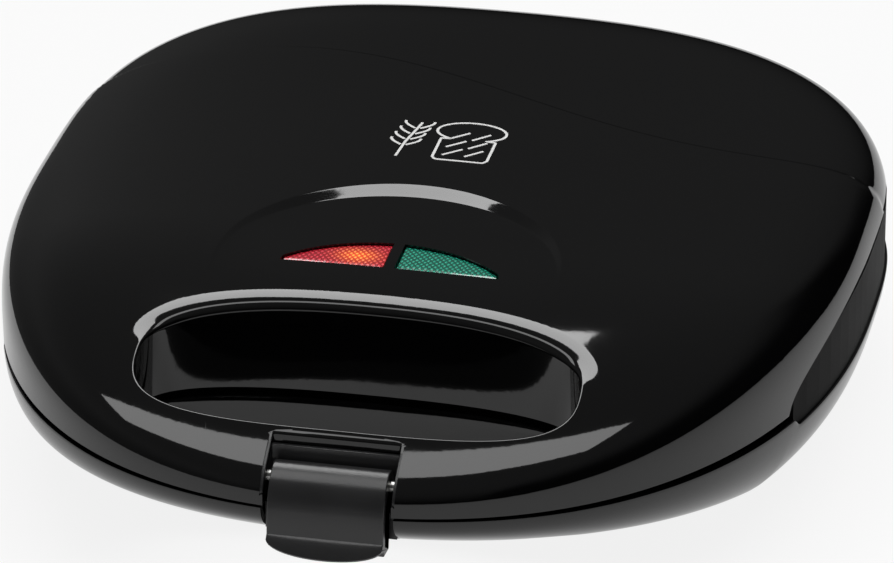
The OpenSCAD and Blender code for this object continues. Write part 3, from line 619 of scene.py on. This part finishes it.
def coated():
    """Non-stick coating on cast plates: fine orange peel and rubbed, slightly browned places."""
    f = Finish("coated_plate", IOR=1.45)
    peel = f.noise(1400.0, 2.0, 0.6)
    cloud = f.noise(28.0, 4.0)
    f.set("Base Color", f.mixed(cloud.band(0.4, 0.75), (0.028, 0.028, 0.029), (0.045, 0.041, 0.037)))
    f.set("Roughness", 0.34 + (cloud - 0.5) * 0.2)
    f.relief(peel, 0.00002)
    return f.material


def pale_plastic(name, tone, rough):
    """Pale heat-proof plastic or sleeve with slight yellowing."""
    f = Finish(name, IOR=1.5)
    cloud = f.noise(120.0, 3.0)
    f.set("Base Color", f.mixed(cloud, tone, tuple(c * k for c, k in zip(tone, (0.94, 0.9, 0.82)))))
    f.set("Roughness", rough + (cloud - 0.5) * 0.15)
    f.relief(f.noise(1800.0, 2.0), 0.00001)
    return f.material


def lens(name, deep, pale, spot=None):
    """Coloured lamp window with crossed prisms under it, paler and faintly glowing on the prisms as painted
    glints and painted glow, and, when lit, a painted warm spot of the lamp's light in its colour and glow.
    """
    f = Finish(name, IOR=1.5, Coat_Weight=1.0, Coat_Roughness=0.05, Emission_Strength=1.0)
    slant = []
    for turn in (34.0, -38.0):
        turned = f.node("ShaderNodeMapping", 0, None, Vector=f.place,
                        Rotation=(0.0, 0.0, math.radians(turn)), Scale=(250.0, 250.0, 250.0))
        slant.append(f.node("ShaderNodeTexWave", "Fac", {"wave_type": "BANDS", "bands_direction": "X"},
                            Vector=turned, Scale=1.0, Distortion=1.2, Detail=1.0))
    prisms = slant[0] * slant[1]
    # crossed prism pattern with fine speckle; in the colour and the glow it paints glints where the prisms catch
    # light
    prisms_and_painted_glint = (prisms * 1.3 + f.noise(1300.0, 2.0) * 0.6).band(0.3, 1.3)
    across = f.axis("X")
    near = across.math("ABSOLUTE") / (LENS_OUTER * MM)
    # painted glint: paler tone on the prisms, less towards the window's outer end
    tone = f.mixed(prisms_and_painted_glint * (1.0 - near * 0.3), deep, pale)
    # painted glow: the whole window glows faintly, brighter on the prisms, though it is no lamp
    glow = f.mixed(prisms_and_painted_glint, tuple(c * 0.22 for c in deep), tuple(c * 0.30 for c in pale))
    if spot:
        x, y = spot
        dx = (across - x) / 0.0048
        dy = (f.axis("Y") - y) / 0.0032
        # painted light of the lit lamp: a warm spot put into the window's colour and glow
        painted_spot = ((dx * dx + dy * dy) * -1.0).math("EXPONENT")
        painted_spot_colour = f.mixed(prisms_and_painted_glint, (0.55, 0.05, 0.01), (0.9, 0.34, 0.04))
        tone = f.mixed(painted_spot * 0.8, tone, painted_spot_colour)
        glow = f.mixed(painted_spot, glow, painted_spot_colour)
    f.set("Base Color", tone)
    f.set("Emission Color", glow)
    f.set("Roughness", 0.28 + prisms_and_painted_glint * 0.12)
    f.relief(prisms + f.noise(1500.0, 2.0) * 0.4, 0.00006)
    return f.material


def lamp_glass():
    """Small lamp bulbs: slightly clouded glass."""
    f = Finish("lamp_glass", IOR=1.45, Transmission_Weight=0.9)
    cloud = f.noise(300.0, 2.0)
    f.set("Base Color", f.mixed(cloud, (0.95, 0.8, 0.65), (0.9, 0.7, 0.5)))
    f.set("Roughness", 0.05 + cloud * 0.08)
    return f.material


def print_white():
    """Pad-printed white line drawing with slightly uneven ink."""
    f = Finish("print_white", IOR=1.45)
    cloud = f.noise(900.0, 3.0)
    f.set("Base Color", f.mixed(cloud, (0.72, 0.72, 0.71), (0.84, 0.84, 0.83)))
    f.set("Roughness", 0.3 + cloud * 0.15)
    return f.material


LOOKS = {
    "gloss_black": gloss_black(),
    "satin_black": satin_black("satin_black", (0.012, 0.012, 0.0125), 0.30, 1500.0),
    "dark_frame": satin_black("dark_frame", (0.0016, 0.0016, 0.0016), 0.6, 1100.0, 0.06),
    "coated_plate": coated(),
    "heater_tube": metal("heater_tube", (0.30, 0.28, 0.25), 0.42, (300.0, 300.0, 300.0), 0.5),
    "shield_sheet": metal("shield_sheet", (0.72, 0.72, 0.73), 0.28, (60.0, 2500.0, 60.0)),
    "steel": metal("steel", (0.62, 0.62, 0.60), 0.22, (2400.0, 200.0, 200.0)),
    "foot_rubber": satin_black("foot_rubber", (0.014, 0.014, 0.014), 0.75, 2200.0),
    "terminal_plastic": pale_plastic("terminal_plastic", (0.75, 0.71, 0.60), 0.4),
    "wire_sleeve": pale_plastic("wire_sleeve", (0.78, 0.78, 0.76), 0.45),
    "fuse_sleeve": pale_plastic("fuse_sleeve", (0.72, 0.66, 0.55), 0.5),
    # the red window carries a painted warm spot of its lit lamp's light
    "red_clear": lens("red_clear", (0.26, 0.003, 0.010), (0.72, 0.03, 0.06), spot=(-0.0096, -0.0462)),
    "green_clear": lens("green_clear", (0.001, 0.075, 0.048), (0.012, 0.34, 0.22)),
    "lamp_glass": lamp_glass(),
}
BODY_OF = {n: b for b, nodes in frame["record"]["behaviour"]["bodies"].items() for n in nodes}
SLOT_OF = {s["node"]: s["material_slot"] for s in frame["record"]["subparts"]}


def dress(obj, look, body=None):
    """Gives a piece its material, and a new piece its body."""
    obj.data.materials.clear()
    obj.data.materials.append(LOOKS[look])
    if body:
        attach(obj, body)


# covers

RAYS = even_rays(520)
hand_edge = hand_radius(RAYS)
hand_outer = hand_radius(RAYS, COLLAR)


def level(value):
    return np.full(len(RAYS), float(value))


def heights(path, end):
    return path[:, end, 2]


def lid_skin():
    """The lid's cover: the hand opening's wall, the domed outside, the lower edge and the inside."""
    outer = reach(RAYS, lid_end, hand_edge)
    inner = reach(RAYS, lid_under_end, hand_outer)
    top = swept(RAYS, hand_edge, outer, lid_top)
    wall = upright(RAYS, hand_edge, level(LID_COLLAR_Z), heights(top, 0))
    outside = resampled(np.concatenate([wall, top[:, 1:]], axis=1), 160, 26.0)
    under = swept(RAYS, hand_outer, inner, lid_under, 600)
    collar = upright(RAYS, hand_outer, level(LID_COLLAR_Z), heights(under, 0), 30)
    inside = resampled(np.concatenate([collar, under[:, 1:]], axis=1), 20, 20.0)
    obj = ring_skin("lid_skin", np.concatenate([outside, inside[:, ::-1]], axis=1))

    def slot(grow):
        return rounded_box(-SLOT_HALF - grow, SLOT_HALF + grow, SLOT_EASED_FROM_Y, SLOT_BACK_Y + grow, SLOT_EASE)

    plain = rounded_box(-SLOT_HALF, SLOT_HALF, CUT_FRONT_Y, SLOT_PLAIN_TO_Y, SLOT_EASE)
    cutters = [eased_cutter("cut_slot", slot, SLOT_EASE, 20.0), prism("cut_slot_front", plain, 20.0, CUT_TOP)]
    cutters += [prism(f"cut_window_{side}", window_outline(side, 0.35), 60.0, CUT_TOP) for side in (-1, 1)]
    carve(obj, cutters)
    return obj


def base_skin():
    """The base's cover: collar, wall of the hand opening, rounded underside, rim and inside."""
    outer = reach(RAYS, base_end, hand_edge)
    inner = reach(RAYS, base_in_end, hand_outer)
    bottom = swept(RAYS, hand_edge, outer, base_out)
    wall = upright(RAYS, hand_edge, level(BASE_COLLAR_Z - COLLAR_ROUND), heights(bottom, 0))
    outside = resampled(np.concatenate([wall, bottom[:, 1:]], axis=1), 110, 26.0)
    under = swept(RAYS, hand_outer, inner, base_in, 600)
    collar = upright(RAYS, hand_outer, level(BASE_COLLAR_Z - COLLAR_ROUND), heights(under, 0), 30)
    inside = resampled(np.concatenate([collar, under[:, 1:]], axis=1), 30, 20.0)
    rim_z = 0.5 * (heights(outside, -1) + heights(inside, -1))
    turn = np.radians(np.linspace(0, 180, 9))
    edge = rows(np.broadcast_to(RAYS[:, None], (len(RAYS), 9)),
                0.5 * (outer + inner)[:, None] + 0.5 * (outer - inner)[:, None] * np.cos(turn),
                rim_z[:, None] + 0.55 * np.sin(turn) ** 0.6)
    lip = rows(np.broadcast_to(RAYS[:, None], (len(RAYS), 9)),
               0.5 * (hand_edge + hand_outer)[:, None]
               - 0.5 * (hand_edge - hand_outer)[:, None] * np.cos(turn),
               BASE_COLLAR_Z - COLLAR_ROUND * (1.0 - np.sin(turn)[None, :] ** 0.6))
    profile = [outside, edge[:, 1:-1], inside[:, ::-1], lip[:, 1:-1]]
    obj = ring_skin("base_skin", np.concatenate(profile, axis=1))
    clip_room = rounded_box(-CLIP_ROOM_HALF, CLIP_ROOM_HALF, CUT_FRONT_Y, CLIP_ROOM_BACK_Y, 1.0)
    cutters = [prism("cut_clip", clip_room, -5.0, 51.0)]
    for sx in (-1, 1):
        for y in FOOT_Y:
            turn = np.radians(np.arange(0, 360, 7.5))
            ring = np.column_stack([sx * FOOT_X + FOOT_SEAT_R * np.cos(turn), y + FOOT_SEAT_R * np.sin(turn)])
            cutters.append(prism(f"cut_foot_{sx}_{y:.0f}", ring, -5.0, FOOT_TOP))
    carve(obj, cutters)
    return obj


# clip

CLIP_TOP = [(1.2, 4.02), (-0.7, 4.14), (-2.7, 3.2), (-4.0, 2.15), (-5.3, 1.0), (-6.2, -0.4), (-6.9, -2.0),
            (-7.4, -3.8), (-7.8, -6.0), (-8.0, -8.4), (-8.05, -10.6), (-7.95, -13.0)]
CLIP_BACK = [(-3.0, -3.2), (-4.0, -2.9), (-5.2, -5.2), (-5.6, -9.4), (-5.2, -14.4), (-1.0, -14.9),
             (-0.7, -15.2), (-0.7, -16.9), (-0.9, -17.1)]


def clip_skin():
    """Clip as a grid: sections across its width of barrel, faceted face and a lip that leans forwards,
    shorter towards the ends as an ellipse."""
    across = CLIP_HALF * np.sin(0.5 * np.pi * np.linspace(-1, 1, 65))
    t = np.linspace(0, 1, 80)
    key = np.array(CLIP_TOP)
    along = np.r_[0.0, np.cumsum(np.hypot(*np.diff(key, axis=0).T))]
    face = np.column_stack([np.interp(t * along[-1], along, key[:, k]) for k in range(2)])
    for _ in range(10):
        face[1:-1] = 0.25 * face[:-2] + 0.5 * face[1:-1] + 0.25 * face[2:]
    turn = np.radians(np.linspace(73.0, -112.0, 36))
    barrel = CLIP_BARREL * np.column_stack([np.cos(turn), np.sin(turn)])
    ca, sa = math.cos(CLIP_REST), math.sin(CLIP_REST)
    grid = []
    for x in across:
        far = math.sqrt(max(1.0 - (x / (CLIP_HALF + 0.4)) ** 2, 0.0)) ** 0.8
        end = min((CLIP_HALF - abs(x)) / CLIP_EDGE, 1.0)
        inset = CLIP_EDGE * (1.0 - math.sqrt(1.0 - (1.0 - end) ** 2))
        u = np.linspace(0, 1, 14)[1:]
        lip = np.column_stack([-7.95 - 3.3 * u ** 0.85 * far, -13.0 - 4.4 * u ** 1.1 * far])
        under = np.array([lip[-1] + (0.5, -0.55), lip[-1] + (1.3, -0.7),
                          (-6.6, -15.5 - 1.2 * far), (-6.0, -17.1)])
        loop = np.concatenate([barrel, CLIP_BACK, under[::-1], lip[::-1], face[::-1]])
        ahead = np.roll(loop, -1, axis=0) - np.roll(loop, 1, axis=0)
        normal = np.column_stack([ahead[:, 1], -ahead[:, 0]])
        normal /= np.maximum(np.linalg.norm(normal, axis=1, keepdims=True), 1e-9)
        loop = loop + normal * inset
        y = CLIP_PIVOT[0] + loop[:, 0] * ca + loop[:, 1] * sa
        z = CLIP_PIVOT[1] - loop[:, 0] * sa + loop[:, 1] * ca
        grid.append(np.column_stack([np.full(len(loop), x), y, z]))
    grid = np.array(grid)
    n, m = grid.shape[:2]
    faces = [loop_faces(n, m, close_rings=False)]
    caps = [np.arange(m)[None, ::-1], ((n - 1) * m + np.arange(m))[None, :]]
    return mesh_object("clip_skin", grid, faces + caps, 32.0)


# lamp windows

def lens_skin(name, side):
    """Lamp window: a crowned top a little under the lid's skin, closed by a wall and a flat underside."""
    n, m = 60, 22
    u = np.linspace(0.0, 1.0, n)
    x = LENS_INNER + 0.12 + (LENS_OUTER - 0.55 - LENS_INNER) * u
    back = LENS_ARC_Y + np.sqrt((LENS_R - 0.15) ** 2 - x ** 2)
    v = np.linspace(0.0, 1.0, m)[None, :]
    y = (LENS_Y + 0.12) * (1 - v) + back[:, None] * v
    xx = np.broadcast_to(x[:, None], y.shape)
    edge = np.minimum(np.minimum(y - LENS_Y, back[:, None] + 0.1 - y), np.minimum(xx - LENS_INNER, 2.0))
    z = lid_top(xx, y) - 0.45 + 0.25 * smooth(edge / 1.6) - 0.25
    top = np.stack([xx * side, y, z], -1)
    low = top.copy()
    low[..., 2] -= 3.0
    points = np.concatenate([top.reshape(-1, 3), low.reshape(-1, 3)])
    skin = loop_faces(n, m, False, False)
    rim = np.concatenate([np.arange(m), (np.arange(1, n) * m + m - 1), ((n - 1) * m + np.arange(m - 1))[::-1],
                          (np.arange(1, n - 1) * m)[::-1]])
    nxt = np.roll(rim, -1)
    wall = np.stack([rim, nxt, nxt + n * m, rim + n * m], -1)
    return mesh_object(name, points, [skin[:, ::-1], skin + n * m, wall[:, ::-1]], 40.0)


# printed picture

def ribbons(name, paths, width=0.75, thick=0.09):
    """Flat printed strips laid on the lid: each path of (x, y) points becomes a closed box strip."""
    points, faces, count = [], [], 0
    for path in paths:
        path = np.array(path, float)
        along = np.r_[0.0, np.cumsum(np.hypot(*np.diff(path, axis=0).T))]
        n = max(int(along[-1] / 0.5), 2) + 1
        t = np.linspace(0.0, along[-1], n)
        line = np.column_stack([np.interp(t, along, path[:, k]) for k in range(2)])
        ahead = np.gradient(line, axis=0)
        ahead /= np.linalg.norm(ahead, axis=1, keepdims=True)
        side = np.column_stack([-ahead[:, 1], ahead[:, 0]]) * width / 2
        rails = []
        for k, rise in ((1, thick), (-1, thick), (-1, -0.25), (1, -0.25)):
            q = line + k * side
            rails.append(np.column_stack([q, lid_top(q[:, 0], q[:, 1]) + rise]))
        grid = np.stack(rails, axis=1)
        points.append(grid.reshape(-1, 3))
        faces.append(loop_faces(n, 4, close_rings=False)[:, ::-1] + count)
        faces.append(np.array([[0, 1, 2, 3]]) + count)
        faces.append(np.array([[3, 2, 1, 0]]) + count + 4 * (n - 1))
        count += 4 * n
    return mesh_object(name, np.concatenate(points), faces, 30.0)


def slice_and_ear():
    """Paths of a bread slice with toasted stripes and of an ear of grain beside it."""
    turn = np.radians(np.linspace(-60.0, 240.0, 40))
    crown = np.column_stack([5.0 + 9.6 * np.cos(turn), 31.0 + 5.6 * np.sin(turn)])
    crust = np.concatenate([[(-2.6, 14.0)], [(-2.6, 26.0)], crown[::-1], [(12.6, 26.0)],
                            [(12.6, 14.0), (11.6, 12.6), (-1.6, 12.6), (-2.6, 14.0)]])
    paths = [crust]
    paths += [[(-0.2, 15.6 + k), (4.6, 20.0 + k)] for k in (0.0, 5.2, 10.4)]
    paths += [[(6.0, 15.6 + k), (10.4, 20.0 + k)] for k in (0.0, 5.2, 10.4)]
    paths.append([(-12.5, 12.6), (-11.8, 22.0), (-9.6, 34.5)])
    for k in range(4):
        y = 20.0 + 3.6 * k
        x = np.interp(y, [12.6, 22.0, 34.5], [-12.5, -11.8, -9.6])
        u = np.linspace(0.0, 1.0, 9)
        for side in (-1, 1):
            paths.append(np.column_stack([x + side * (0.7 + 3.4 * np.sin(u * 1.7)), y + 4.4 * u]))
    return paths


# softened solids

def softened(node, width, segments=3):
    """Stands a merged copy of a solid, with rounded edges of the given width, in its place."""
    source = frame["nodes"][node]
    bm = bmesh.new()
    bm.from_mesh(source.data)
    bmesh.ops.remove_doubles(bm, verts=bm.verts, dist=2e-6)
    bmesh.ops.dissolve_limit(bm, angle_limit=math.radians(0.6), verts=bm.verts, edges=bm.edges)
    mesh = bpy.data.meshes.new(node + "_soft")
    bm.to_mesh(mesh)
    bm.free()
    obj = bpy.data.objects.new(node + "_soft", mesh)
    bpy.context.scene.collection.objects.link(obj)
    bevel = obj.modifiers.new("edge", "BEVEL")
    bevel.width = width * MM
    bevel.segments = segments
    bevel.limit_method = "ANGLE"
    bevel.angle_limit = math.radians(38.0)
    bevel.use_clamp_overlap = True
    bpy.context.view_layer.update()
    baked = bpy.data.meshes.new_from_object(obj.evaluated_get(bpy.context.evaluated_depsgraph_get()))
    obj.modifiers.clear()
    obj.data = baked
    bpy.data.meshes.remove(mesh)
    shade(obj, 40.0)
    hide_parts(node)
    dress(obj, SLOT_OF[node], BODY_OF[node])


for node, obj in frame["nodes"].items():
    dress(obj, SLOT_OF[node])

lid = lid_skin()
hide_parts("lid_cover")
dress(lid, "gloss_black", "lid")

base = base_skin()
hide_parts("base_cover")
dress(base, "gloss_black", "base")

clip = clip_skin()
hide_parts("latch_clip")
dress(clip, "satin_black", "latch")

for colour, side in (("red", -1), ("green", 1)):
    window = lens_skin(f"{colour}_window", side)
    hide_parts(f"{colour}_lens")
    dress(window, f"{colour}_clear", "lid")

picture = ribbons("printed_picture", slice_and_ear())
picture.data.materials.append(print_white())
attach(picture, "lid")

for node, width in (("latch_bracket", 0.3), ("cord_gland", 0.6), ("rubber_feet", 0.8)):
    softened(node, width)


# stage, light and camera

def floor():
    """A flat pale floor that ends left of the toaster. It glows for the camera and in refracted looks,
    and less in mirrored ones."""
    left, far = FLOOR_LEFT, FLOOR_FAR
    corners = np.array([[left, -far, 0], [far, -far, 0], [far, far, 0], [left, far, 0]])
    obj = mesh_object("floor", corners, [np.array([[0, 1, 2, 3]])])
    f = Finish("floor_pale", Roughness=0.9)
    f.set("Base Color", f.mixed(f.noise(3.0), (0.78, 0.78, 0.78), (0.82, 0.82, 0.82)))
    seen = f.node("ShaderNodeLightPath", "Is Camera Ray")
    mirrored = f.node("ShaderNodeLightPath", "Is Glossy Ray")
    through = f.node("ShaderNodeLightPath", "Is Transmission Ray")
    glow = f.node("ShaderNodeEmission", 0, None, Strength=1.0)
    share = seen * FLOOR_GLOW + mirrored * FLOOR_GLOW_MIRRORED + through * FLOOR_GLOW
    f.shown(f.node("ShaderNodeMixShader", 0, None, i0=share, i1=Wire(f, f.shader.outputs[0]), i2=glow))
    obj.data.materials.append(f.material)


def lamp_panel(name, place, target, size, power, mirrored_only=False):
    """A rectangular lamp at a place, turned to a target, in metres. It is seen either by matt surfaces
    or in mirrored looks."""
    light = bpy.data.lights.new(name, "AREA")
    light.shape = "RECTANGLE"
    light.size, light.size_y = size
    light.energy = power
    obj = bpy.data.objects.new(name, light)
    bpy.context.scene.collection.objects.link(obj)
    away = np.array(target, float) - np.array(place, float)
    away /= np.linalg.norm(away)
    side = np.cross(away, (0.0, 1.0, 0.0))
    side /= -np.linalg.norm(side)
    m = np.eye(4)
    m[:3, :3] = np.column_stack([side, np.cross(-away, side), -away])
    m[:3, 3] = place
    obj.matrix_world = Matrix(m.tolist())
    obj.visible_diffuse = not mirrored_only
    obj.visible_glossy = mirrored_only


def mirrored_panel(name, place, size, radiance):
    """A level panel over a place that shows in mirrored looks only. Its power is radiance times pi
    times area."""
    x, y = place
    watts = radiance * math.pi * size[0] * size[1]
    lamp_panel(name, (x, y, PANEL_HEIGHT), (x, y, 0.0), size, watts, True)


def surroundings():
    """Studio: white for the camera, even light for the surfaces, and dim walls in glossy looks,
    lighter upwards and to the left, black low on the right."""
    world = bpy.data.worlds.new("studio")
    bpy.context.scene.world = world
    world.use_nodes = True
    g = Graph(world.node_tree, "ShaderNodeOutputWorld")
    look = g.node("ShaderNodeTexCoord", "Generated")
    x, z = (g.node("ShaderNodeSeparateXYZ", k, None, Vector=look) for k in "XZ")
    upwards = z.band(-0.15, 0.85) * 0.17
    left = (0.0 - x).band(0.15, 0.5) * (1.0 - z.band(0.3, 0.75)) * 0.10
    right = x.band(0.34, 0.5) * (1.0 - z.band(0.3, 0.75))
    walls = (upwards + left) * (1.0 - right)
    seen = g.node("ShaderNodeLightPath", "Is Camera Ray")
    through = g.node("ShaderNodeLightPath", "Is Transmission Ray")
    mirrored = g.node("ShaderNodeLightPath", "Is Glossy Ray")
    rest = 1.0 - (seen + through + mirrored).math("MINIMUM", 1.0)
    strength = seen + through + mirrored * walls * WALLS_SHARE + rest * EVEN_LIGHT
    g.shown(g.node("ShaderNodeBackground", 0, None, Color=(1.0, 1.0, 1.0), Strength=strength))


def camera():
    """Camera at the photograph's angle, turned by azimuth and elevation round its target."""
    cam = bpy.data.cameras.new("view")
    cam.sensor_fit = "HORIZONTAL"
    cam.sensor_width = SENSOR_WIDTH
    cam.lens = FOCAL_PIXELS * SENSOR_WIDTH / PICTURE_WIDTH
    cam.clip_start, cam.clip_end = 0.05, 50.0
    obj = bpy.data.objects.new("view", cam)
    bpy.context.scene.collection.objects.link(obj)
    az, el = CAMERA_AZIMUTH, CAMERA_ELEVATION
    back = np.array([math.sin(az) * math.cos(el), -math.cos(az) * math.cos(el), math.sin(el)])
    right = np.array([math.cos(az), math.sin(az), 0.0])
    m = np.eye(4)
    m[:3, :3] = np.column_stack([right, np.cross(back, right), back])
    m[:3, 3] = np.array(CAMERA_TARGET) + CAMERA_DISTANCE * back
    obj.matrix_world = Matrix(m.tolist())
    bpy.context.scene.camera = obj


floor()
surroundings()
camera()
lamp_panel("key", KEY_PLACE, KEY_TARGET, KEY_SIZE, KEY_WATTS)
mirrored_panel("rear_panel", REAR_PANEL_PLACE, REAR_PANEL_SIZE, REAR_PANEL_RADIANCE)
mirrored_panel("front_panel", FRONT_PANEL_PLACE, FRONT_PANEL_SIZE, FRONT_PANEL_RADIANCE)
bpy.context.scene.view_settings.view_transform = "Standard"
